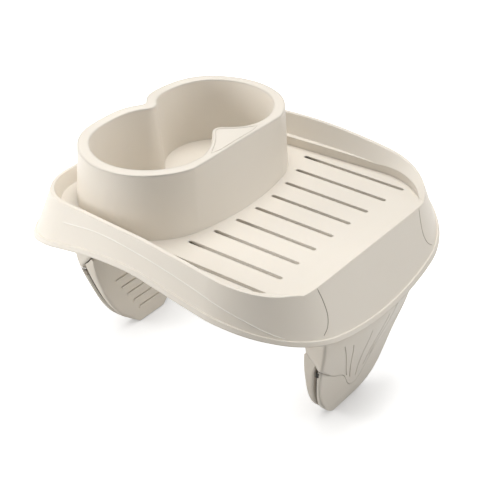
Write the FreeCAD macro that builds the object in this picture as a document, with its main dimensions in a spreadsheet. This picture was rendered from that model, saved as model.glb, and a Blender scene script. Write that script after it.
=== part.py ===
import FreeCAD, Part
import math
import os
from FreeCAD import Vector, Placement, Rotation

# Hot tub tray: a moulded tray with two cup wells that sits across the wall of a tub on two claw legs.
# Z = 0 is the surface that the leg tips stand on, X runs from the cup wells (-) to the plain front
# edge (+), and the object is the same on both sides of the plane Y = 0.

doc = FreeCAD.newDocument("hot_tub_tray")
sheet = doc.addObject("Spreadsheet::Sheet", "Sizes")

SIZES = [
    # heights above the ground
    ("floor_level", 126.0, "top of the slotted floor"),
    ("deck_rise", 6.5, "step from the slotted floor up to the deck beside it"),
    ("bowl_height", 45.5, "rim of the bowl above the slotted floor"),
    ("pad_rise", 4.0, "extra height of the bowl rim on the middle plane"),
    # tray outline at floor level
    ("front_reach", 104.5, "front edge of the skirt from the origin, at floor level"),
    ("back_reach", 111.0, "back edge of the skirt from the origin, at floor level"),
    ("front_corner", 53.0, "plan radius of the front corners"),
    ("back_corner", 50.0, "plan radius of the back corners"),
    ("front_half", 108.5, "half width over the front corners"),
    ("back_half", 104.0, "half width over the back corners"),
    ("side_bow", 600.0, "radius of the long sides"),
    ("skirt_draft", 20.3, "slope of the skirt, degrees"),
    ("skin", 2.6, "wall of the moulding"),
    ("rim_width", 3.0, "width of the top edge of the tray"),
    ("bead_height", 3.2, "height of the lip along the bottom of the skirt"),
    ("bead_proud", 1.2, "how far the lip stands out"),
    # top edge of the tray above the floor, from back to front
    ("rim_back", 14.0, "top edge at the back"),
    ("rim_side", 20.0, "top edge half way along the side"),
    ("rim_front", 3.6, "top edge at the front"),
    # bottom edge of the skirt below the floor
    ("drop_side", 1.0, "bottom edge half way along the side"),
    ("drop_front", 39.0, "bottom edge in the middle of the front"),
    ("drop_corner", 14.5, "bottom edge at the front corners"),
    ("drop_back", 21.4, "bottom edge in the middle of the back"),
    ("drop_rear", 20.0, "bottom edge at the back corners"),
    # cup wells
    ("well_x", -47.0, "centres of the cup wells"),
    ("well_y", 34.5, "centres of the cup wells from the middle plane"),
    ("well_top", 40.5, "radius of a cup well at the rim"),
    ("well_foot", 36.3, "radius of a cup well at its floor"),
    ("well_ridge", 8.0, "rounding of the ridge between the wells at the rim"),
    ("bowl_top", 48.0, "outer radius of the bowl lobes at the rim"),
    ("bowl_foot", 51.0, "outer radius of the bowl lobes at the floor"),
    ("bowl_notch", 5.0, "rounding of the notch at the back of the bowl at the rim"),
    ("bowl_front", 47.0, "front of the bowl from the well centres at the rim"),
    ("front_foot", 55.0, "front of the bowl from the well centres at the floor"),
    # drain slots
    ("slot_count", 9, "drain slots"),
    ("slot_pitch", 20.0, "spacing of the drain slots"),
    ("slot_width", 3.0, "width of a drain slot"),
    ("slot_start", 13.0, "back end of the middle slot"),
    ("slot_end", 75.0, "front end of the middle slot"),
    ("start_sweep", 15.3, "how much further back the outer slots start"),
    ("end_sweep", 4.7, "how much further forward the outer slots end"),
    # legs, measured on the front leg; the back leg is its mirror image
    ("groove_foot", 88.1, "inner face of a shoe from the origin, at the ground"),
    ("groove_lean", 11.8, "slope of the groove between shoe and pad, degrees"),
    ("tip_half", 13.0, "half width of the flat end of a leg"),
    ("leg_half", 53.0, "half width of a leg at its top"),
    ("arm_skin", 2.6, "wall of an arm"),
    ("spine_thick", 3.0, "thickness of the arm between shoe and pad"),
    ("spine_inset", 3.4, "how far the spine lies inside the groove"),
    ("seam_gap", 0.3, "clearance between an arm and its shoe or pad"),
    ("shoe_skin", 2.2, "wall of a shoe and of a grip pad"),
    ("seat_band", 6.0, "width of the edge by which shoe and pad sit on the spine"),
    ("pad_inset", 0.7, "edge of a grip pad inside the edge of its shoe"),
    ("pad_top", 71.4, "top of a grip pad above the ground"),
    ("rib_count", 5, "grip ribs on a pad"),
    ("rib_low", 12.0, "lowest grip rib above the ground"),
    ("rib_pitch", 7.9, "spacing of the grip ribs"),
    ("rib_thick", 2.4, "thickness of a grip rib"),
    ("rib_proud", 1.2, "height of a grip rib"),
    ("line_width", 0.8, "width of the fine grooves on an arm"),
    ("line_deep", 0.5, "depth of the fine grooves on an arm"),
    ("window_level", 56.5, "middle of the catch window above the ground"),
    ("window_high", 4.5, "height of the catch window at the top of the groove"),
    ("window_deep", 1.0, "how far the catch window reaches into the shoe"),
    # sockets under the tray
    ("socket_ribs", 7, "ribs inside the top of an arm"),
    ("socket_deep", 12.0, "depth of the socket ribs below the floor"),
    ("socket_thick", 2.2, "thickness of a socket rib"),
    ("socket_gap", 0.3, "clearance between the socket ribs and an arm"),
]
for row, (alias, value, note) in enumerate(SIZES, start=1):
    sheet.set("A%d" % row, note)
    sheet.set("B%d" % row, str(value))
    sheet.setAlias("B%d" % row, alias)
doc.recompute()


def size(alias):
    return float(getattr(sheet, alias))


FLOOR = size("floor_level")
SKIN = size("skin")
DRAFT = math.tan(math.radians(size("skirt_draft")))
XY = Rotation()
XZ = Rotation(Vector(1, 0, 0), 90)
YZ = Rotation(Vector(1, 1, 1), 120)


def sketch(name, edges, base=Vector(), turn=XY):
    """A sketch of the given lines and arcs, laid in its plane."""
    item = doc.addObject("Sketcher::SketchObject", name)
    for edge in edges:
        item.addGeometry(edge, False)
    item.Placement = Placement(base, turn)
    return item


def extrude(name, base, along, back="0 mm", taper=None, taper_back=None, direction=None):
    """A solid from a sketch; the lengths are expressions on the sheet."""
    item = doc.addObject("Part::Extrusion", name)
    item.Base = base
    item.DirMode = "Custom"
    item.Dir = direction or base.Placement.Rotation.multVec(Vector(0, 0, 1))
    item.Solid = True
    item.setExpression("LengthFwd", along)
    item.setExpression("LengthRev", back)
    if taper:
        item.setExpression("TaperAngle", taper)
    if taper_back:
        item.setExpression("TaperAngleRev", taper_back)
    return item


def boolean(kind, name, first, second):
    item = doc.addObject("Part::" + kind, name)
    item.Base = first
    item.Tool = second
    return item


def cut(name, first, second):
    return boolean("Cut", name, first, second)


def common(name, first, second):
    return boolean("Common", name, first, second)


def fuse(name, items):
    item = doc.addObject("Part::MultiFuse", name)
    item.Shapes = items
    return item


def solid(name, shape):
    item = doc.addObject("Part::Feature", name)
    item.Shape = shape
    return item


def line(a, b):
    return Part.LineSegment(Vector(a[0], a[1], 0), Vector(b[0], b[1], 0))


def arc(a, b, c):
    return Part.Arc(Vector(a[0], a[1], 0), Vector(b[0], b[1], 0), Vector(c[0], c[1], 0))


def polygon(points):
    return [line(p, q) for p, q in zip(points, points[1:] + points[:1])]


def spline_profile(points, low):
    """A curve through the points, closed by straight lines down or up to the level low."""
    curve = Part.BSplineCurve()
    curve.interpolate([Vector(x, z, 0) for x, z in points])
    first, last = points[0], points[-1]
    return [curve, line(last, (last[0], low)), line((last[0], low), (first[0], low)),
            line((first[0], low), first)]


def tray_circles(grow=0.0):
    """Front corner, back corner and side circle of the outline, grown outward."""
    r_front, r_back = size("front_corner"), size("back_corner")
    front = (size("front_reach") - r_front, size("front_half") - r_front, r_front + grow)
    back = (-size("back_reach") + r_back, size("back_half") - r_back, r_back + grow)
    big = size("side_bow")
    ax, ay, bx, by = front[0], front[1], back[0], back[1]
    da, db = big - r_front, big - r_back
    gap = math.hypot(bx - ax, by - ay)
    along = (da * da - db * db + gap * gap) / (2 * gap)
    off = math.sqrt(da * da - along * along)
    ux, uy = (bx - ax) / gap, (by - ay) / gap
    cx, cy = ax + ux * along - uy * off, ay + uy * along + ux * off
    if cy > 0:
        cx, cy = ax + ux * along + uy * off, ay + uy * along - ux * off
    return front, back, (cx, cy, big + grow)


def reach(circle, toward, away=False):
    """Point of a circle on the ray from another centre through this one."""
    dx, dy = circle[0] - toward[0], circle[1] - toward[1]
    scale = circle[2] / math.hypot(dx, dy)
    return (circle[0] + dx * scale, circle[1] + dy * scale)


def tray_outline(grow=0.0):
    """The closed outline: straight front and back, four corner arcs and two bowed sides."""
    front, back, side = tray_circles(grow)
    a = (front[0] + front[2], front[1])
    c = reach(front, side)
    mid_angle = math.atan2(c[1] - front[1], c[0] - front[0]) / 2
    b = (front[0] + front[2] * math.cos(mid_angle), front[1] + front[2] * math.sin(mid_angle))
    e = reach(back, side)
    middle = ((c[0] + e[0]) / 2 - side[0], (c[1] + e[1]) / 2 - side[1])
    scale = side[2] / math.hypot(*middle)
    d = (side[0] + middle[0] * scale, side[1] + middle[1] * scale)
    g = (back[0] - back[2], back[1])
    start = math.atan2(e[1] - back[1], e[0] - back[0])
    f_angle = (start + math.pi) / 2
    f = (back[0] + back[2] * math.cos(f_angle), back[1] + back[2] * math.sin(f_angle))

    def flip(p):
        return (p[0], -p[1])
    return [line(flip(a), a), arc(a, b, c), arc(c, d, e), arc(e, f, g), line(g, flip(g)),
            arc(flip(g), flip(f), flip(e)), arc(flip(e), flip(d), flip(c)), arc(flip(c), flip(b), flip(a))]


def outline_points(count=72):
    """Points of the floor-level outline with their outward directions, going round."""
    front, back, side = tray_circles()
    c, e = reach(front, side), reach(back, side)
    top = math.atan2(c[1] - front[1], c[0] - front[0])
    rear = math.atan2(e[1] - back[1], e[0] - back[0])
    half = []
    for i in range(4):
        half.append((front[0] + front[2], front[1] * i / 4, 1.0, 0.0))
    for i in range(10):
        t = top * i / 9
        half.append((front[0] + front[2] * math.cos(t), front[1] + front[2] * math.sin(t),
                     math.cos(t), math.sin(t)))
    s0 = math.atan2(c[1] - side[1], c[0] - side[0])
    s1 = math.atan2(e[1] - side[1], e[0] - side[0])
    for i in range(1, 12):
        t = s0 + (s1 - s0) * i / 12
        half.append((side[0] + side[2] * math.cos(t), side[1] + side[2] * math.sin(t),
                     math.cos(t), math.sin(t)))
    for i in range(9):
        t = rear + (math.pi - rear) * i / 8
        half.append((back[0] + back[2] * math.cos(t), back[1] + back[2] * math.sin(t),
                     math.cos(t), math.sin(t)))
    for i in range(1, 4):
        half.append((-size("back_reach"), back[1] * (1 - i / 4), -1.0, 0.0))
    half.append((-size("back_reach"), 0.0, -1.0, 0.0))
    mirror = [(x, -y, u, -v) for x, y, u, v in half[1:-1]][::-1]
    return half + mirror


# heights of the top and bottom edges of the tray, as smooth curves along X and Y
def rim_curve():
    side, front, back = size("rim_side"), size("rim_front"), size("rim_back")
    fr, br = size("front_reach"), size("back_reach")
    drop = side - front
    return [(-br - 12, back - 1.4), (-0.87 * br, back + 0.29 * (side - back)),
            (-0.69 * br, back + 0.65 * (side - back)), (-0.51 * br, back + 0.9 * (side - back)),
            (-0.27 * br, side), (0.0, side - 0.012 * drop), (0.27 * fr, side - 0.15 * drop),
            (0.51 * fr, side - 0.34 * drop), (0.70 * fr, side - 0.57 * drop),
            (0.85 * fr, side - 0.8 * drop), (0.955 * fr, side - 0.95 * drop), (fr + 14, front - 0.6)]


def interpolate(points, x):
    """Height of a piecewise smooth curve at x, by straight runs between close points."""
    for (x0, z0), (x1, z1) in zip(points, points[1:]):
        if x0 <= x <= x1:
            return z0 + (z1 - z0) * (x - x0) / (x1 - x0)
    return points[0][1] if x < points[0][0] else points[-1][1]


def rim_height(x):
    return interpolate(rim_curve(), x)


def ease(t):
    t = max(0.0, min(1.0, t))
    return t * t * (3 - 2 * t)


def drop_height(x, y):
    """Bottom edge of the skirt: level along the sides, hanging lower at both ends."""
    side, corner = size("drop_side"), size("drop_corner")
    if x > 0:
        level = -side - (corner - side) * min(1.0, x / (0.84 * size("front_reach"))) ** 1.2
        edge = size("front_half")
        hang = (corner - size("drop_front")) * (1 - min(1.0, y * y / (edge * edge)))
        return level + hang * ease(x / (0.33 * size("front_reach")) - 1.5)
    reach_back, rear = size("back_reach"), size("drop_rear")
    level = -side - (rear - side) * max(0.0, min(1.0, (-x / reach_back - 0.13) / 0.87)) ** 1.6
    edge = size("back_half") - size("back_corner")
    hang = (rear - size("drop_back")) * (1 - min(1.0, y * y / (edge * edge)))
    return level + hang * ease(-x / (0.17 * reach_back) - 4.8)


def drop_surface(lift, low):
    """A solid below the surface through the skirt's bottom edge, lifted by the given height."""
    rows = []
    xs = [-165 + 15 * i for i in range(23)]
    ys = [-165 + 15 * i for i in range(23)]
    for x in xs:
        rows.append([Vector(x, y, FLOOR + drop_height(x, y) + lift) for y in ys])
    surface = Part.BSplineSurface()
    surface.interpolate(rows)
    face = surface.toShape()
    return face.extrude(Vector(0, 0, low))


def deck_curve():
    """Height of the deck beside the sunken floor, falling away towards the front."""
    rise, fr = size("deck_rise"), size("front_reach")
    return [(-160.0, rise), (-60.0, rise), (0.1 * fr, rise), (0.33 * fr, 0.95 * rise), (0.53 * fr, 0.8 * rise),
            (0.72 * fr, 0.6 * rise), (0.87 * fr, 0.4 * rise), (0.97 * fr, 0.28 * rise), (fr + 60, 0.1 * rise)]


def wall_loft(low, high, deck_grow=0.0):
    """The dish inside the tray: a ruled wall from the deck's edge up to the top edge of the tray."""
    lower, upper = [], []
    for x, y, u, v in outline_points():
        rim, deck = rim_height(x), interpolate(deck_curve(), x)
        widest = 16.5 - 4.5 * ease(-x / size("back_reach") * 1.6 - 0.3)
        top = DRAFT * rim + size("rim_width")
        slope = max(0.05, min(3.2, (widest - top) / max(rim - deck, 0.5)))
        base = top + slope * (rim - deck) - deck_grow
        share = ease((math.degrees(math.atan2(abs(v), u)) - 4.0) / 34.0)
        at_low = share * (base - slope * (low - deck)) - (1 - share) * (3.0 + deck_grow)
        at_high = share * (base - slope * (high - deck)) - (1 - share) * (3.0 + deck_grow)
        lower.append(Vector(x - u * at_low, y - v * at_low, FLOOR + low))
        upper.append(Vector(x - u * at_high, y - v * at_high, FLOOR + high))
    ring = outline_points()
    steps = [0.0]
    for p, q in zip(ring, ring[1:] + ring[:1]):
        steps.append(steps[-1] + math.hypot(q[0] - p[0], q[1] - p[1]))
    wires = []
    for points in (lower, upper):
        curve = Part.BSplineCurve()
        curve.interpolate(Points=points, PeriodicFlag=True, Parameters=steps)
        wires.append(Part.Wire(curve.toShape()))
    return Part.makeLoft(wires, True, True)


def floor_outline(grow=0.0):
    """Outline of the sunken slotted floor: open to the front, rounded at the back."""
    fr = size("front_reach")
    front_r, back_r = 46.5 + grow, 30.0 + grow
    cx, cy = fr - 46.5, size("front_half") - 62.5
    bx, by = -30.0, size("back_half") - 16.5 - 30.0
    tilt = math.atan2(cy + front_r - by - back_r, cx - bx)
    top_f = (cx - front_r * math.sin(tilt), cy + front_r * math.cos(tilt))
    top_b = (bx - back_r * math.sin(tilt), by + back_r * math.cos(tilt))
    m = math.radians(45) + tilt / 2
    mid_f = (cx + front_r * math.cos(m), cy + front_r * math.sin(m))
    n = math.radians(135) + tilt / 2
    mid_b = (bx + back_r * math.cos(n), by + back_r * math.sin(n))
    end_f = (cx + front_r, cy)
    end_b = (bx - back_r, by)
    far = fr + 20

    def flip(p):
        return (p[0], -p[1])
    return [line((far, -cy), (far, cy)), line((far, cy), end_f), arc(end_f, mid_f, top_f),
            line(top_f, top_b), arc(top_b, mid_b, end_b), line(end_b, flip(end_b)),
            arc(flip(end_b), flip(mid_b), flip(top_b)), line(flip(top_b), flip(top_f)),
            arc(flip(top_f), flip(mid_f), flip(end_f)), line(flip(end_f), (far, -cy))]


# the skirt block with its drafted sides, cut along the top edge of the tray
def skirt_block(name, grow, low_rim):
    plan = sketch(name + "_plan", tray_outline(grow), Vector(0, 0, FLOOR))
    block = extrude(name + "_block", plan, "40 mm", "62 mm", "-Sizes.skirt_draft * 1 deg",
                    "Sizes.skirt_draft * 1 deg")
    rim = sketch(name + "_rim", spline_profile([(x, z - low_rim) for x, z in rim_curve()], 60.0),
                 Vector(0, 0, FLOOR), XZ)
    above = extrude(name + "_above", rim, "200 mm", "200 mm")
    return cut(name, block, above)


outer = skirt_block("outer", 0.0, 0.0)
below_edge = solid("below_edge", drop_surface(0.0, -160))
outer_trimmed = cut("outer_trimmed", outer, below_edge)

lip_plan = sketch("lip_plan", tray_outline(size("bead_proud")), Vector(0, 0, FLOOR))
lip_block = extrude("lip_block", lip_plan, "4 mm", "62 mm", "-Sizes.skirt_draft * 1 deg",
                    "Sizes.skirt_draft * 1 deg")
below_lip = solid("below_lip", drop_surface(size("bead_height"), -160))
lip_low = common("lip_low", lip_block, below_lip)
lip = cut("lip", lip_low, solid("below_edge_lip", drop_surface(0.0, -160)))
shell = fuse("shell", [outer_trimmed, lip])

def above_deck(name, lower):
    line_up = sketch(name + "_line", spline_profile([(x, z - lower) for x, z in deck_curve()], 60.0),
                     Vector(0, 0, FLOOR), XZ)
    return extrude(name, line_up, "200 mm", "200 mm")


dish_top = size("rim_side") + 3
dish = common("dish", solid("dish_walls", wall_loft(-5.0, dish_top)), above_deck("deck_top", 0.0))
pan_plan = sketch("pan_plan", floor_outline(), Vector(0, 0, FLOOR))
pan = extrude("pan", pan_plan, "Sizes.deck_rise * 1 mm + 40 mm")

# the front of the slotted floor sweeps up a little to meet the front edge
fr = size("front_reach")
ramp_line = sketch("ramp_line", [
    arc((0.80 * fr, 0), (0.90 * fr, 0.27 * size("rim_front")), (fr - 1.2, size("rim_front"))),
    line((fr - 1.2, size("rim_front")), (fr + 4, size("rim_front"))),
    line((fr + 4, size("rim_front")), (fr + 4, -SKIN)),
    line((fr + 4, -SKIN), (0.80 * fr, -SKIN)), line((0.80 * fr, -SKIN), (0.80 * fr, 0))],
    Vector(0, 0, FLOOR), XZ)
ramp_bar = extrude("ramp_bar", ramp_line, "Sizes.front_half * 1 mm", "Sizes.front_half * 1 mm")
ramp = common("ramp", ramp_bar, outer_trimmed)


def lobes(r, front, notch):
    """Outline of the bowl: two round lobes, a bowed front and a rounded notch at the back."""
    wx, wy = size("well_x"), size("well_y")
    yf = wy + 0.25 * r
    x1 = wx + math.sqrt(r * r - (yf - wy) ** 2)
    xc = wx - math.sqrt((r + notch) ** 2 - wy * wy)
    scale = r / (r + notch)
    xn, yn = wx + (xc - wx) * scale, wy - wy * scale
    out = (wx - r * math.sin(0.35), wy + r * math.cos(0.35))
    return [arc((x1, -yf), (wx + front, 0), (x1, yf)), arc((x1, yf), out, (xn, yn)),
            arc((xn, yn), (xc + notch, 0), (xn, -yn)), arc((xn, -yn), (out[0], -out[1]), (x1, -yf))]


def wells(r, ridge):
    """Outline of the two cup wells, joined between rounded ridges."""
    wx, wy = size("well_x"), size("well_y")
    span = math.sqrt((r + ridge) ** 2 - wy * wy)
    scale = r / (r + ridge)
    xt, yt = span * scale, wy - wy * scale
    return [arc((wx + xt, yt), (wx, wy + r), (wx - xt, yt)),
            arc((wx - xt, yt), (wx - span + ridge, 0), (wx - xt, -yt)),
            arc((wx - xt, -yt), (wx, -wy - r), (wx + xt, -yt)),
            arc((wx + xt, -yt), (wx + span - ridge, 0), (wx + xt, yt))]


def graded(foot, top, level):
    """A size that changes evenly from the floor to the bowl rim, taken at a level."""
    return foot + (top - foot) * level / size("bowl_height")


def loft(name, pairs):
    item = doc.addObject("Part::Loft", name)
    item.Sections = pairs
    item.Solid = True
    item.Ruled = True
    return item


def bowl_body(name, shrink, low, high):
    rings = []
    for tag, level in (("low", low), ("high", high)):
        r = graded(size("bowl_foot"), size("bowl_top"), level) - shrink
        front = graded(size("front_foot"), size("bowl_front"), level) - shrink
        notch = size("bowl_top") + size("bowl_notch") - r
        rings.append(sketch(name + "_" + tag, lobes(r, front, notch), Vector(0, 0, FLOOR + level)))
    return loft(name, rings)


def well_body(name, grow, low, high):
    rings = []
    for tag, level in (("low", low), ("high", high)):
        r = graded(size("well_foot"), size("well_top"), level) + grow
        ridge = size("well_top") + size("well_ridge") - r
        rings.append(sketch(name + "_" + tag, wells(r, ridge), Vector(0, 0, FLOOR + level)))
    return loft(name, rings)


def bowl_level(x, y):
    """Top of the bowl: level round the lobes, rising to the ridges on the middle plane."""
    lift = math.exp(-(y / 19.0) ** 2) * ease((-x - 1.0) / 22.0)
    return size("bowl_height") + size("pad_rise") * lift


def above_bowl(lower):
    rows = []
    for i in range(11):
        x = -140.0 + 18.0 * i
        rows.append([Vector(x, -110.0 + 20.0 * j, FLOOR + bowl_level(x, -110.0 + 20.0 * j) - lower)
                     for j in range(12)])
    surface = Part.BSplineSurface()
    surface.interpolate(rows)
    return surface.toShape().extrude(Vector(0, 0, 60))


high = size("bowl_height") + size("pad_rise") + 4
bowl_block = bowl_body("bowl_block", 0.0, -SKIN, high)
bowl_out = cut("bowl_out", bowl_block, solid("bowl_sky", above_bowl(0.0)))
well_space = well_body("well_space", 0.0, 0.0, high)

# everything under the skin is open from below
hollow_block = skirt_block("hollow", -SKIN / math.cos(math.atan(DRAFT)), SKIN)
dish_skin = common("dish_skin", solid("skin_walls", wall_loft(-7.0, dish_top, SKIN)),
                   above_deck("skin_top", SKIN))
pan_skin_plan = sketch("pan_skin_plan", floor_outline(SKIN), Vector(0, 0, FLOOR - SKIN))
pan_skin = extrude("pan_skin", pan_skin_plan, "60 mm")
well_skin = well_body("well_skin", SKIN * 0.9, -SKIN, high)
hollow_low = cut("hollow_low", cut("hollow_dish", hollow_block, dish_skin), pan_skin)
bowl_core = bowl_body("bowl_core", SKIN, -5 * SKIN, high)
bowl_hollow = cut("bowl_hollow", bowl_core, solid("bowl_roof", above_bowl(SKIN)))
hollow_all = cut("hollow_all", fuse("hollow_both", [hollow_low, bowl_hollow]), well_skin)


# drain slots with round ends
def slot_edges():
    half, edges = size("slot_width") / 2, []
    count = int(size("slot_count"))
    for k in range(count):
        y = (k - (count - 1) / 2) * size("slot_pitch")
        share = (2.0 * k / (count - 1) - 1) ** 2 if count > 1 else 0.0
        x0 = size("slot_start") - size("start_sweep") * share + half
        x1 = size("slot_end") + size("end_sweep") * share - half
        edges += [line((x0, y - half), (x1, y - half)), arc((x1, y - half), (x1 + half, y), (x1, y + half)),
                  line((x1, y + half), (x0, y + half)), arc((x0, y + half), (x0 - half, y), (x0, y - half))]
    return edges


slot_plan = sketch("slot_plan", slot_edges(), Vector(0, 0, FLOOR - 12))
slots = extrude("slots", slot_plan, "20 mm")

dished = cut("dished", cut("dish_cut", shell, dish), pan)
skinned = fuse("skinned", [dished, bowl_out, ramp])
welled = cut("welled", skinned, well_space)

# socket ribs that stand inside the top of each arm; the back ones reach up into the bowl
def lean(z, shift=0.0):
    """The groove plane of a leg at the height z."""
    return size("groove_foot") + shift + math.tan(math.radians(size("groove_lean"))) * z


seat = FLOOR - SKIN
socket_plan, posts_plan = [], []
ribs = int(size("socket_ribs"))
reach_y = size("leg_half") - size("arm_skin") - size("socket_gap") - size("socket_thick") / 2
for k in range(ribs):
    y = reach_y * (2.0 * k / (ribs - 1) - 1)
    low, high_y = y - size("socket_thick") / 2, y + size("socket_thick") / 2
    for sign in (-1, 1):
        socket_plan += polygon([(sign * 84.5, low), (sign * 90.0, low), (sign * 90.0, high_y),
                                (sign * 84.5, high_y)])
    posts_plan += polygon([(-101.0, low), (-82.0, low), (-82.0, high_y), (-101.0, high_y)])
sockets = extrude("sockets", sketch("socket_plan", socket_plan, Vector(0, 0, seat)), "2 mm",
                  "Sizes.socket_deep * 1 mm")
posts = extrude("posts", sketch("posts_plan", posts_plan, Vector(0, 0, seat)), "60 mm")
hollow_ribbed = cut("hollow_ribbed", hollow_all, fuse("socket_all", [sockets, posts]))
opened = cut("opened", welled, hollow_ribbed)
tray = cut("tray", opened, slots)


# legs: one outer form shared by arm and shoe, so that they lie flush along their seam
FORM = [(seat, 95.5, 99.0), (104.0, 101.6, 105.3), (80.0, 106.2, 110.6), (50.0, 100.2, 103.8),
        (22.0, 94.3, 96.9), (0.0, 89.4, 90.2)]


def leg_form(name, inset):
    """The bulging outer face of a leg, through level sections from the tray to the ground."""
    half, rings = size("leg_half") + 1.0 - inset, []
    for k, (z, edge, crown) in enumerate(FORM):
        e, c = edge - inset, crown - inset
        rings.append(sketch("%s_%d" % (name, k), [
            line((70, -half), (e, -half)), arc((e, -half), (c, 0), (e, half)),
            line((e, half), (70, half)), line((70, half), (70, -half))], Vector(0, 0, z)))
    item = loft(name, rings)
    item.Ruled = False
    return item


def offset_run(points, distance):
    """Points of an open run moved sideways, to its left when the distance is positive."""
    moved = []
    for k, (x, z) in enumerate(points):
        x0, z0 = points[max(k - 1, 0)]
        x1, z1 = points[min(k + 1, len(points) - 1)]
        long = math.hypot(x1 - x0, z1 - z0)
        moved.append((x - (z1 - z0) / long * distance, z + (x1 - x0) / long * distance))
    return moved


def paddle(name, inset, top=128.0):
    """Outline of a leg seen from the end of the tray: upright above, rounded to its tip."""
    half = size("leg_half")
    run = [(half, 100.0), (half, 80.0), (half - 0.5, 66.0), (half - 2.6, 55.0), (half - 5.8, 44.5),
           (half - 9.6, 34.0), (half - 15.5, 22.5), (half - 23.0, 12.8), (half - 31.5, 5.6),
           (size("tip_half"), 0.0)]
    right = offset_run(run, -inset)
    right = [p for p in right if p[1] > inset + 0.8]
    right.append((size("tip_half") + 0.3 * inset, inset))
    curve, mirror = Part.BSplineCurve(), Part.BSplineCurve()
    curve.interpolate([Vector(y, z, 0) for y, z in right])
    mirror.interpolate([Vector(-y, z, 0) for y, z in right[::-1]])
    y0, z0 = right[0]
    y1, z1 = right[-1]
    return sketch(name, [curve, line((y1, z1), (-y1, z1)), mirror, line((-y0, z0), (-y0, top)),
                         line((-y0, top), (y0, top)), line((y0, top), (y0, z0))], Vector(70, 0, 0), YZ)


SEAM = [(60.0, 65.5), (53.0, 61.5), (47.0, 56.5), (39.0, 50.0), (30.0, 43.8), (20.0, 38.0), (14.5, 32.0),
        (8.0, 22.4), (4.4, 19.4)]


def seam(name, shift, up):
    """The region above or below the seam line of arm and shoe."""
    right = offset_run(SEAM, shift)
    left = [(-y, z) for y, z in right[::-1]]
    curve, mirror = Part.BSplineCurve(), Part.BSplineCurve()
    curve.interpolate([Vector(y, z, 0) for y, z in right])
    mirror.interpolate([Vector(y, z, 0) for y, z in left])
    tip = (0.0, right[-1][1] - 1.2)
    far = 130.0 if up else -6.0
    return sketch(name, [curve, arc(right[-1], tip, left[0]), mirror,
                         line(left[-1], (left[-1][0], far)), line((left[-1][0], far), (right[0][0], far)),
                         line((right[0][0], far), right[0])], Vector(70, 0, 0), YZ)


def profile(name, edges):
    """A bar across the whole leg with the given side view."""
    return extrude(name, sketch(name + "_line", edges, Vector(), XZ), "70 mm", "70 mm")


spine_t, gap = size("spine_thick"), size("seam_gap")
form = leg_form("form", 0.0)
whole_paddle = extrude("whole_paddle", paddle("whole_line", 0.0), "60 mm")
leg_block = common("leg_block", form, whole_paddle)
beyond_groove = profile("beyond_groove", polygon([(lean(-4), -4), (130, -4), (130, 80), (lean(80), 80)]))

# shoe
shoe_below = extrude("shoe_below", seam("shoe_seam", gap / 2, False), "60 mm")
shoe_block = common("shoe_block", common("shoe_form", leg_block, beyond_groove), shoe_below)
shoe_core = common("shoe_core", leg_form("shoe_core_form", size("shoe_skin")),
                   extrude("shoe_core_plan", paddle("shoe_core_line", size("seat_band")), "60 mm"))
shoe_floor = extrude("shoe_floor", seam("shoe_floor_line", size("seat_band") / 2, False), "60 mm")
shoe_pocket = common("shoe_pocket", common("shoe_pocket_all", shoe_core, shoe_floor), beyond_groove)
win_z = size("window_level")
window_line = []
for side in (-1, 1):
    window_line += polygon([(side * 44.0, win_z - size("window_high") / 2),
                            (side * 60.0, win_z - size("window_high") / 2),
                            (side * 60.0, win_z + size("window_high") / 2),
                            (side * 44.0, win_z + size("window_high") / 2)])
window_bar = extrude("window_bar", sketch("window_line", window_line, Vector(70, 0, 0), YZ), "60 mm")
window_slab = profile("window_slab", polygon([
    (lean(40, -spine_t - 1), 40), (lean(40, size("window_deep")), 40), (lean(80, size("window_deep")), 80),
    (lean(80, -spine_t - 1), 80)]))
window_pair = common("window_pair", window_bar, window_slab)
shoe = cut("front_shoe", cut("shoe_hollowed", shoe_block, shoe_pocket), window_pair)

# arm: a channel open towards the tub wall, a tongue over the shoe and a spine in the groove
arm_above = extrude("arm_above", seam("arm_seam", -gap / 2, True), "60 mm")
arm_side = profile("arm_side", polygon([(84.0, seat), (130.0, seat), (130.0, 0.0), (lean(0), 0.0),
                                        (lean(61.0), 61.0), (lean(65.2, -spine_t), 65.2), (95.6, 68.2),
                                        (92.0, 72.6), (90.6, 80.0), (88.0, 104.0)]))
arm_block = common("arm_block", common("arm_form", leg_block, arm_side), arm_above)
channel = common("channel", leg_form("channel_form", size("arm_skin")),
                 extrude("channel_plan", paddle("channel_line", size("arm_skin")), "60 mm"))
channel_high = profile("channel_high", polygon([(70, 69), (130, 69), (130, 130), (70, 130)]))
channel_space = common("channel_space", channel, channel_high)
spine_plan = extrude("spine_plan", paddle("spine_line", size("spine_inset"), 70.0), "60 mm")
spine_slab = profile("spine_slab", polygon([(lean(-4, -spine_t), -4), (lean(-4), -4), (lean(70), 70),
                                            (lean(70, -spine_t), 70)]))
spine = common("spine", spine_plan, spine_slab)
arm_plain = fuse("arm_plain", [cut("arm_channel", arm_block, channel_space), spine])


# fine grooves that fan out over the tongue
def thin(a, b):
    half = size("line_width") / 2
    long = math.hypot(b[0] - a[0], b[1] - a[1])
    ux, uz = (b[0] - a[0]) / long * half, (b[1] - a[1]) / long * half
    return [line((a[0] - uz, a[1] + ux), (b[0] - uz, b[1] + ux)),
            arc((b[0] - uz, b[1] + ux), (b[0] + ux, b[1] + uz), (b[0] + uz, b[1] - ux)),
            line((b[0] + uz, b[1] - ux), (a[0] + uz, a[1] - ux)),
            arc((a[0] + uz, a[1] - ux), (a[0] - ux, a[1] - uz), (a[0] - uz, a[1] + ux))]


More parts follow.
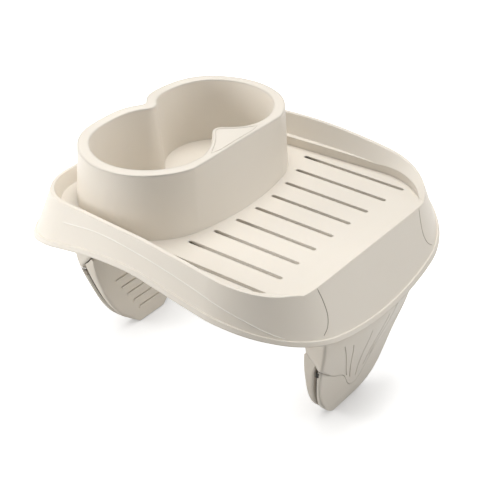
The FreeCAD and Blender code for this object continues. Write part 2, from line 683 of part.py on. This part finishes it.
fan_line = thin((0.0, 66.0), (0.0, 25.0))
for side in (-1, 1):
    fan_line += thin((side * 22.0, 67.0), (side * 8.2, 29.0))
    fan_line += thin((side * 33.0, 72.0), (side * 14.0, 34.0))
fan = extrude("fan", sketch("fan_line", fan_line, Vector(88, 0, 0), YZ), "40 mm")
fan_cut = cut("fan_cut", fan, leg_form("fan_floor", size("line_deep")))
arm = cut("front_arm", arm_plain, fuse("arm_cuts", [fan_cut, window_pair]))

# grip pad with ribs on its hollow inner face
PAD = [(83.2, 0.0), (87.2, 34.0), (90.2, 70.0)]


def pad_side(name, shift):
    """Side view of a pad: bowed inner face, groove plane and the slope under the arm."""
    a, b, c = [(x + shift, z) for x, z in PAD]
    top = size("pad_top")
    lean_low = lean(0, -spine_t)
    edge = lean(64.5, -spine_t)
    return profile(name, [arc(a, b, c), line(c, (91.8, top)), arc((91.8, top), (95.2, 67.4), (edge, 64.5)),
                          line((edge, 64.5), (lean_low, 0.0)), line((lean_low, 0.0), a)])


pad_plan = extrude("pad_plan", paddle("pad_line", size("pad_inset")), "60 mm")
pad_block = common("pad_block", pad_side("pad_side", 0.0), pad_plan)
pad_core = common("pad_core", extrude("pad_core_plan", paddle("pad_core_line", size("seat_band")), "60 mm"),
                  profile("pad_core_side", [
                      arc((lean(18.0, -spine_t), 18.0), (91.2, 40.0), (92.6, 58.0)),
                      line((92.6, 58.0), (lean(58.0, -spine_t), 58.0)),
                      line((lean(58.0, -spine_t), 58.0), (lean(18.0, -spine_t), 18.0))]))
rib_line = []
for k in range(int(size("rib_count"))):
    z = size("rib_low") + k * size("rib_pitch")
    half, r = 11.5 + 5.1 * k, size("rib_thick") / 2
    rib_line += [line((-half, z - r), (half, z - r)), arc((half, z - r), (half + r, z), (half, z + r)),
                 line((half, z + r), (-half, z + r)), arc((-half, z + r), (-half - r, z), (-half, z - r))]
rib_bars = extrude("rib_bars", sketch("rib_line", rib_line, Vector(70, 0, 0), YZ), "60 mm")
ribs_raised = common("ribs_raised", rib_bars, cut(
    "rib_skin", pad_side("rib_side", -size("rib_proud")), pad_side("rib_root", 0.6)))
pad = fuse("front_pad", [cut("pad_open", pad_block, pad_core), ribs_raised])


def mirrored(name, source):
    item = doc.addObject("Part::Mirroring", name)
    item.Source = source
    item.Base = Vector()
    item.Normal = Vector(1, 0, 0)
    return item


doc.recompute()
NODES = [("tray", tray), ("front_arm", arm), ("front_shoe", shoe), ("front_pad", pad)]
NODES += [(name.replace("front", "back"), mirrored(name.replace("front", "back"), item))
          for name, item in NODES[1:]]
doc.recompute()
for item in doc.Objects:
    if "Invalid" in item.State or "Error" in item.State:
        raise RuntimeError("feature %s did not build" % item.Name)
os.makedirs("parts", exist_ok=True)
for name, item in NODES:
    item.Label = name
    item.Placement = Placement()
    shape = item.Shape
    if shape.isNull() or not shape.isValid() or len(shape.Solids) != 1:
        raise RuntimeError("%s is not one sound solid" % name)
    shape.exportStep("parts/%s.step" % name)
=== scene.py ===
import math

import bmesh
import bpy
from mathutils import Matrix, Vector
from mathutils.bvhtree import BVHTree


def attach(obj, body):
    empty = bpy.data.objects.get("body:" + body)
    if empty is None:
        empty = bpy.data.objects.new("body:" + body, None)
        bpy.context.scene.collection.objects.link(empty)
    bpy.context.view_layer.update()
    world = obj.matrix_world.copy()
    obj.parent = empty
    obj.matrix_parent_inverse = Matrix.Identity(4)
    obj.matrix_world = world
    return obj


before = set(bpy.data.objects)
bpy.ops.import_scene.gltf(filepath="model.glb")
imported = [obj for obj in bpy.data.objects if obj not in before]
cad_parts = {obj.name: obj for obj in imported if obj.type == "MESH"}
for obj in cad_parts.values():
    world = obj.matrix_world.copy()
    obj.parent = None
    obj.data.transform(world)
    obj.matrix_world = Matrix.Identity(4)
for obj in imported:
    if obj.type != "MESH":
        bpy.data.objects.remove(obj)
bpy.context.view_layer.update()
scene = bpy.context.scene
MM = 0.001
NEAR_FAR = (("near", -1), ("far", 1))

# the photograph's camera: its place and the direction back to it, in metres
CAMERA_PLACE = (0.4518, -0.5994, 0.55675)
CAMERA_BACK = (0.5128, -0.6805, 0.5234)
CAMERA_LENS, CAMERA_SENSOR = 96.41, 36.0

# zones with a rounder edge: weight of |y|, weight of z, start and radius, in metres
BOWL_RIM = (0.0, 1.0, 0.166, 0.0028)
LEG_SIDE = (1.0, -0.25, 0.026, 0.0045)
PAD_SIDE = (1.0, -0.6, 0.013, 0.0045)
ZONE_FADE = 0.003

# upright corners of the bowl's front: x, |y|, foot and top of their rounding, and its radius, in metres
BOWL_CORNER = (0.001, 0.0469, 0.138, 0.169, 0.009)
CORNER_CORE, CORNER_REACH = 0.008, 0.014
CORNER_FOOT_FADE, CORNER_TOP_FADE = 0.012, 0.004

# fine lines of painted shade and painted highlight on the moulding, in millimetres: their widths, and how
# far their middle stands off the surface
OUTSIDE = 200.0
FOLD_WIDTH, LEAF_WIDTH, FOLD_LIFT = 0.5, 0.4, 0.02
SKIRT_LINE_WIDTH, SKIRT_LINE_LIFT = 0.8, -0.2
# line of painted shade along the fold at each front corner, as |y| and z
FOLD = [(60.0, 129.3), (58.0, 120.4), (57.6, 111.5), (60.4, 105.2), (65.4, 101.4)]
# line of painted highlight low on each side of the skirt, as x and z
SKIRT_LINE = [(-69.5, 133.6), (-32.0, 138.7), (11.0, 136.6), (51.0, 129.7), (78.0, 120.7), (102.2, 107.0)]
# one half of the leaf between the wells, as x and y: its side towards the wells, and its front
LEAF = [(-4.2, 25.0), (-7.4, 18.5), (-11.2, 11.5), (-15.2, 6.0), (-18.2, 2.4), (-18.9, 0.0)]
LEAF_FRONT = [(-4.2, 25.0), (-2.7, 18.0), (-2.4, 9.0), (-2.4, 0.0)]

# groove between shoe and pad: its middle at the ground, and its outward slope
GROOVE_FOOT, GROOVE_SLOPE = 88.1, math.tan(math.radians(11.8))
# block of painted shade in the window at the top of a groove, standing for its deep hollow: from the
# groove's middle, across, and in height
WINDOW_SHADE_X, WINDOW_SHADE_Y, WINDOW_SHADE_Z = (-1.6, 0.8), (44.2, 50.6), (54.5, 57.9)
# shadow line on each wall of a groove: from the groove's middle, its heights, lift off the spine and width
LINE_WALLS = (("pad", -1.0), ("shoe", 0.5))
LINE_HEIGHTS = range(14, 59, 4)
LINE_LIFT, LINE_WIDTH = 1.8, 0.9

# drain slots, and the guard under the back end of each, in a tone of painted shade
SLOTS, SLOT_PITCH, SLOT_START, START_SWEEP = 9, 20.0, 13.0, 15.3
GUARD_X, GUARD_Y = (-5.0, 11.0), (-3.0, 6.5)
GUARD_FOOT, GUARD_FLOOR, GUARD_TOP, RAIL = 121.6, 122.6, 125.0, 0.8

# white ground, in metres: half its size, and the reach of its painted contact shadow
GROUND, PAINTED_SHADOW_REACH = 6.0, 0.045
MIDDLE = (0, 0, 0.1)


def put(name, data):
    """A new object in the scene."""
    item = bpy.data.objects.new(name, data)
    scene.collection.objects.link(item)
    return item


def aim(item, place, ahead):
    """Place a camera or a lamp and turn it to look along a direction."""
    item.location = place
    item.rotation_mode = "QUATERNION"
    item.rotation_quaternion = ahead.to_track_quat("-Z", "Y")


def new_material(name):
    mat = bpy.data.materials.new(name)
    mat.use_nodes = True
    return mat, mat.node_tree.nodes, mat.node_tree.links, mat.node_tree.nodes["Principled BSDF"]


def noise(nodes, links, place, scale, detail):
    """A noise texture in the object's own space."""
    item = nodes.new("ShaderNodeTexNoise")
    item.inputs["Scale"].default_value = scale
    item.inputs["Detail"].default_value = detail
    links.new(place.outputs["Object"], item.inputs["Vector"])
    return item.outputs["Fac"]


def bump(nodes, links, height, normal, strength, depth):
    item = nodes.new("ShaderNodeBump")
    item.inputs["Strength"].default_value = strength
    item.inputs["Distance"].default_value = depth
    links.new(height, item.inputs["Height"])
    links.new(normal, item.inputs["Normal"])
    return item.outputs["Normal"]


def math_node(nodes, links, kind, first, second=None, third=None):
    """A math node whose inputs are sockets or plain numbers."""
    item = nodes.new("ShaderNodeMath")
    item.operation = kind
    for socket, value in zip(item.inputs, (first, second, third)):
        if isinstance(value, (int, float)):
            socket.default_value = value
        elif value is not None:
            links.new(value, socket)
    return item.outputs[0]


def step_up(nodes, links, value, start, end, low, high):
    """A value that goes from low to high between the start and the end."""
    item = nodes.new("ShaderNodeMapRange")
    for name, number in (("From Min", start), ("From Max", end), ("To Min", low), ("To Max", high)):
        item.inputs[name].default_value = number
    links.new(value, item.inputs["Value"])
    return item.outputs["Result"]


def choose(nodes, links, factor, first, second):
    """The first shader, or the second where the factor is 1."""
    item = nodes.new("ShaderNodeMixShader")
    for socket, value in zip(item.inputs, (factor, first, second)):
        links.new(value, socket)
    return item.outputs[0]


def edge_zone(nodes, links, place, bevel, edge, zone, corner):
    """A rounder edge in one zone of a piece, and round its upright corners."""
    across, up, start, wide = zone
    split = nodes.new("ShaderNodeSeparateXYZ")
    links.new(place.outputs["Object"], split.inputs["Vector"])
    x, z = split.outputs["X"], split.outputs["Z"]
    y = math_node(nodes, links, "ABSOLUTE", split.outputs["Y"])
    side = math_node(nodes, links, "MULTIPLY", y, across)
    reach = math_node(nodes, links, "MULTIPLY_ADD", z, up, side)
    radius = step_up(nodes, links, reach, start, start + ZONE_FADE, edge, wide)
    if corner:
        at_x, at_y, foot, top, round_edge = corner
        dx = math_node(nodes, links, "SUBTRACT", x, at_x)
        dy = math_node(nodes, links, "SUBTRACT", y, at_y)
        dy_squared = math_node(nodes, links, "MULTIPLY", dy, dy)
        away = math_node(nodes, links, "SQRT", math_node(nodes, links, "MULTIPLY_ADD", dx, dx, dy_squared))
        near = step_up(nodes, links, away, CORNER_CORE, CORNER_REACH, round_edge, 0.0)
        above = step_up(nodes, links, z, foot, foot + CORNER_FOOT_FADE, 0.0, 1.0)
        below = step_up(nodes, links, z, top - CORNER_TOP_FADE, top, 1.0, 0.0)
        band = math_node(nodes, links, "MULTIPLY", above, below)
        rounder = math_node(nodes, links, "MULTIPLY", near, band)
        radius = math_node(nodes, links, "MAXIMUM", radius, rounder)
    links.new(radius, bevel.inputs["Radius"])


def moulded_plastic(name, light, dark, roughness, grain=0.035, edge=0.0007, zone=None, corner=None):
    """Satin moulded plastic: soft tone drift, fine grain, slight flow waves and rounded edges."""
    mat, nodes, links, shader = new_material(name)
    place = nodes.new("ShaderNodeTexCoord")

    tone = nodes.new("ShaderNodeValToRGB")
    for element, position, colour in zip(tone.color_ramp.elements, (0.3, 0.7), (dark, light)):
        element.position = position
        element.color = (*colour, 1)
    links.new(noise(nodes, links, place, 9.0, 3.0), tone.inputs["Fac"])
    links.new(tone.outputs["Color"], shader.inputs["Base Color"])

    wave = noise(nodes, links, place, 60.0, 2.0)
    rough = step_up(nodes, links, wave, 0.0, 1.0, roughness - 0.05, roughness + 0.06)
    links.new(rough, shader.inputs["Roughness"])

    bevel = nodes.new("ShaderNodeBevel")
    bevel.samples = 4
    bevel.inputs["Radius"].default_value = edge
    if zone:
        edge_zone(nodes, links, place, bevel, edge, zone, corner)
    flow = bump(nodes, links, wave, bevel.outputs["Normal"], 0.03, 0.001)
    fine = bump(nodes, links, noise(nodes, links, place, 900.0, 4.0), flow, grain, 0.0002)
    links.new(fine, shader.inputs["Normal"])

    shader.inputs["Subsurface Weight"].default_value = 0.06
    shader.inputs["Subsurface Radius"].default_value = (0.004, 0.003, 0.002)
    shader.inputs["Specular IOR Level"].default_value = 0.42
    return mat


# light and dark tone, and roughness
tray_mat = moulded_plastic("tray_plastic", (0.80, 0.75, 0.675), (0.775, 0.725, 0.65), 0.42,
                           edge=0.0009, zone=BOWL_RIM, corner=BOWL_CORNER)
arm_mat = moulded_plastic("arm_plastic", (0.77, 0.72, 0.645), (0.745, 0.695, 0.62), 0.45, zone=LEG_SIDE)
shoe_mat = moulded_plastic("shoe_plastic", (0.76, 0.71, 0.635), (0.735, 0.685, 0.61), 0.47, zone=LEG_SIDE)
pad_mat = moulded_plastic("pad_grip", (0.72, 0.67, 0.595), (0.695, 0.645, 0.57), 0.6, grain=0.06,
                          zone=PAD_SIDE)
# painted shade: a dark tone for the near corner fold, the hollows of the back windows and the back ends of
# the drain slots
shade_mat = moulded_plastic("painted_shade", (0.36, 0.32, 0.27), (0.32, 0.28, 0.235), 0.6)
# painted shade: near-black for the deep hollow of the front windows and the shadow lines in the grooves
deep_shade_mat = moulded_plastic("painted_deep_shade", (0.02, 0.018, 0.015), (0.012, 0.01, 0.008), 0.7)
# painted shade, softer: the line along the far corner fold and the leaf outline
soft_shade_mat = moulded_plastic("painted_soft_shade", (0.62, 0.57, 0.50), (0.58, 0.53, 0.46), 0.5)
# painted highlight: the light line low on each side of the skirt
highlight_mat = moulded_plastic("painted_highlight", (0.92, 0.89, 0.83), (0.90, 0.87, 0.81), 0.35)
LOOK = {"tray": tray_mat, "arm": arm_mat, "shoe": shoe_mat, "pad": pad_mat}

for node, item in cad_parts.items():
    item.data.materials.clear()
    item.data.materials.append(LOOK[node.split("_")[-1]])


def surface_of(item):
    """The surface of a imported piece, for rays."""
    mesh = bmesh.new()
    mesh.from_mesh(item.data)
    mesh.transform(item.matrix_world)
    tree = BVHTree.FromBMesh(mesh)
    mesh.free()
    return tree


TRAY = surface_of(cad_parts["tray"])


def smooth_run(points, steps):
    """Catmull-Rom run through the points."""
    pts = [Vector(p) for p in points]
    pts = [2 * pts[0] - pts[1]] + pts + [2 * pts[-1] - pts[-2]]
    run = []
    for k in range(1, len(pts) - 2):
        a, b, c, d = pts[k - 1:k + 3]
        for s in range(steps):
            t = s / steps
            run.append(0.5 * (2 * b + (c - a) * t + (2 * a - 5 * b + 4 * c - d) * t * t
                              + (3 * b - a - 3 * c + d) * t ** 3))
    return run + [pts[-2]]


def on_tray(points, direction, lift):
    """Points in millimetres, moved along a direction onto the tray and lifted off it."""
    run = []
    for point in points:
        hit, normal, _, _ = TRAY.ray_cast(point * MM, Vector(direction))
        if hit is not None:
            out = normal if normal.dot(Vector(direction)) < 0 else -normal
            run.append(hit + out * lift * MM)
    return run


def tube(name, run, width, mat, sides=6):
    """A thin bead along a run of points, tapered at both ends."""
    mesh, rings = bmesh.new(), []
    for k, point in enumerate(run):
        ahead = (run[min(k + 1, len(run) - 1)] - run[max(k - 1, 0)]).normalized()
        side = ahead.orthogonal().normalized()
        other = ahead.cross(side)
        r = 0.5 * width * MM * min(1.0, 0.25 + 0.25 * min(k, len(run) - 1 - k))
        rings.append([mesh.verts.new(point + r * (side * math.cos(a) + other * math.sin(a)))
                      for a in (2 * math.pi * j / sides for j in range(sides))])
    for one, two in zip(rings, rings[1:]):
        near = min(range(sides), key=lambda s: (two[s].co - one[0].co).length)
        two[:] = two[near:] + two[:near]
        for j in range(sides):
            mesh.faces.new((one[j], one[(j + 1) % sides], two[(j + 1) % sides], two[j]))
    mesh.faces.new(rings[0][::-1])
    mesh.faces.new(rings[-1])
    bmesh.ops.recalc_face_normals(mesh, faces=mesh.faces)
    data = bpy.data.meshes.new(name)
    mesh.to_mesh(data)
    mesh.free()
    data.materials.append(mat)
    data.shade_smooth()
    item = put(name, data)
    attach(item, "root")


def block(name, low, high, lean, mat):
    """A box between two corners in millimetres, whose x leans with its height."""
    corners = [((x + lean * z) * MM, y * MM, z * MM) for z in (low[2], high[2])
               for x, y in ((low[0], low[1]), (high[0], low[1]), (high[0], high[1]), (low[0], high[1]))]
    faces = [(3, 2, 1, 0), (4, 5, 6, 7), (0, 1, 5, 4), (1, 2, 6, 5), (2, 3, 7, 6), (3, 0, 4, 7)]
    data = bpy.data.meshes.new(name)
    data.from_pydata(corners, [], faces)
    data.materials.append(mat)
    item = put(name, data)
    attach(item, "root")


# painted shade along the fold at each front corner, darker on the near side, and a painted highlight along
# the fine line low on each side of the skirt
for tag, side in NEAR_FAR:
    fold = smooth_run([(OUTSIDE, side * y, z) for y, z in FOLD], 18)
    tube("corner_fold_shade_" + tag, on_tray(fold, (-1, 0, 0), FOLD_LIFT), FOLD_WIDTH,
         shade_mat if side < 0 else soft_shade_mat)
    line = smooth_run([(x, side * OUTSIDE, z) for x, z in SKIRT_LINE], 22)
    tube("skirt_highlight_line_" + tag, on_tray(line, (0, -side, 0), SKIRT_LINE_LIFT), SKIRT_LINE_WIDTH, highlight_mat)

# leaf outline on the raised pad between the wells, a darker line of painted shade along its edge
for tag, half in (("inner", LEAF), ("front", LEAF_FRONT)):
    whole = half + [(x, -y) for x, y in half[-2::-1]]
    run = smooth_run([(x, y, OUTSIDE) for x, y in whole], 6)
    tube("leaf_" + tag, on_tray(run, (0, 0, -1), FOLD_LIFT), LEAF_WIDTH, soft_shade_mat)

# blocks of painted shade in the four windows at the top of the grooves, near-black on the front leg and a
# softer shade on the back leg
for end, way, mat in (("front", 1, deep_shade_mat), ("back", -1, shade_mat)):
    for tag, side in NEAR_FAR:
        xs = sorted(way * (GROOVE_FOOT + x) for x in WINDOW_SHADE_X)
        ys = sorted(side * y for y in WINDOW_SHADE_Y)
        low, high = zip(xs, ys, WINDOW_SHADE_Z)
        block("window_shade_%s_%s" % (end, tag), low, high, way * GROOVE_SLOPE, mat)

# dark shadow lines down both walls of each groove, along the edge of the spine
for end, way in (("front", 1), ("back", -1)):
    spine = surface_of(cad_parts[end + "_arm"])
    for tag, side in NEAR_FAR:
        for wall, offset in LINE_WALLS:
            run = []
            for z in LINE_HEIGHTS:
                start = Vector((way * (GROOVE_FOOT + offset + GROOVE_SLOPE * z), side * OUTSIDE, z)) * MM
                hit = spine.ray_cast(start, Vector((0, -side, 0)))[0]
                if hit is not None:
                    run.append(hit + Vector((0, side * LINE_LIFT * MM, 0)))
            tube("groove_line_%s_%s_%s" % (end, tag, wall), run, LINE_WIDTH, deep_shade_mat)

# shallow guards under the back ends of the drain slots, in a dark tone of painted shade for the slot ends
for k in range(SLOTS):
    middle = (k - (SLOTS - 1) / 2) * SLOT_PITCH
    start = SLOT_START - START_SWEEP * (2.0 * k / (SLOTS - 1) - 1) ** 2
    back, front = (start + x for x in GUARD_X)
    right, left = (middle + y for y in GUARD_Y)
    name = "slot_shade_guard_%d" % (k + 1)
    block(name, (back, right, GUARD_FOOT), (front, left, GUARD_FLOOR), 0.0, shade_mat)
    for tag, low, high in (("near", right, right + RAIL), ("far", left - RAIL, left)):
        block(name + "_" + tag, (back, low, GUARD_FLOOR), (front, high, GUARD_TOP), 0.0, shade_mat)


def add_camera():
    """The camera at the photograph's angle."""
    data = bpy.data.cameras.new("camera")
    data.sensor_width = CAMERA_SENSOR
    data.lens = CAMERA_LENS
    data.clip_start, data.clip_end = 0.05, 20
    scene.camera = put("camera", data)
    aim(scene.camera, CAMERA_PLACE, -Vector(CAMERA_BACK))


def ground():
    """White ground that keeps a soft cast shadow, with a painted contact shadow near the object, and is
    darker for the light that it sends back.
    """
    mesh = bpy.data.meshes.new("ground")
    corners = [(-GROUND, -GROUND, 0), (GROUND, -GROUND, 0), (GROUND, GROUND, 0), (-GROUND, GROUND, 0)]
    mesh.from_pydata(corners, [], [(0, 1, 2, 3)])
    floor = put("ground", mesh)
    mat, nodes, links, shader = new_material("ground_white")
    shader.inputs["Base Color"].default_value = (0.45, 0.44, 0.42, 1)
    shader.inputs["Roughness"].default_value = 0.9
    shader.inputs["Specular IOR Level"].default_value = 0.0
    seen = nodes.new("ShaderNodeBsdfDiffuse")
    seen.inputs["Color"].default_value = (0.6, 0.6, 0.6, 1)
    # painted contact shadow: the white glow that the camera sees is dimmed where occlusion is close
    near = nodes.new("ShaderNodeAmbientOcclusion")
    near.samples = 8
    near.inputs["Distance"].default_value = PAINTED_SHADOW_REACH
    white = nodes.new("ShaderNodeEmission")
    white.inputs["Color"].default_value = (1.0, 1.0, 1.0, 1)
    links.new(step_up(nodes, links, near.outputs["AO"], 0.25, 1.0, 0.25, 0.8), white.inputs["Strength"])
    both = nodes.new("ShaderNodeAddShader")
    links.new(seen.outputs[0], both.inputs[0])
    links.new(white.outputs[0], both.inputs[1])
    ray = nodes.new("ShaderNodeLightPath")
    shown = math_node(nodes, links, "MAXIMUM", ray.outputs["Is Camera Ray"], ray.outputs["Is Glossy Ray"])
    surface = choose(nodes, links, shown, shader.outputs[0], both.outputs[0])
    links.new(surface, nodes["Material Output"].inputs["Surface"])
    mesh.materials.append(mat)


def area_light(name, place, target, size, power, colour, spread=180.0):
    """A round lamp: sizes in metres, power in watts, spread in degrees."""
    data = bpy.data.lights.new(name, "AREA")
    data.shape = "DISK"
    data.size = size
    data.energy = power
    data.spread = math.radians(spread)
    data.color = colour
    aim(put(name, data), place, Vector(target) - Vector(place))


def sky(colour, strength):
    """An even light all round, seen as white by the camera."""
    world = bpy.data.worlds.new("studio")
    scene.world = world
    world.use_nodes = True
    nodes, links = world.node_tree.nodes, world.node_tree.links
    light = nodes["Background"]
    light.inputs["Color"].default_value = colour
    light.inputs["Strength"].default_value = strength
    seen = nodes.new("ShaderNodeBackground")
    seen.inputs["Color"].default_value = (1.0, 1.0, 1.0, 1)
    seen.inputs["Strength"].default_value = 1.0
    shown = nodes.new("ShaderNodeLightPath").outputs["Is Camera Ray"]
    surface = choose(nodes, links, shown, light.outputs[0], seen.outputs[0])
    links.new(surface, nodes["World Output"].inputs["Surface"])


add_camera()
ground()
area_light("left", (-0.75, -0.75, 0.42), (-0.05, -0.05, 0.12), 0.6, 7.0, (1.0, 0.99, 0.975))
area_light("top", (-0.2, 0.4, 2.2), MIDDLE, 1.5, 34, (1.0, 0.99, 0.97))
area_light("low", (0.36, -0.34, 0.045), (-0.09, -0.005, 0.03), 0.06, 0.013, (1.0, 0.985, 0.96), 20.0)
area_light("right", (1.9, 1.2, 0.9), MIDDLE, 1.4, 14, (1.0, 0.985, 0.96))
sky((1.0, 0.99, 0.97, 1), 0.35)
scene.view_settings.view_transform = "Standard"
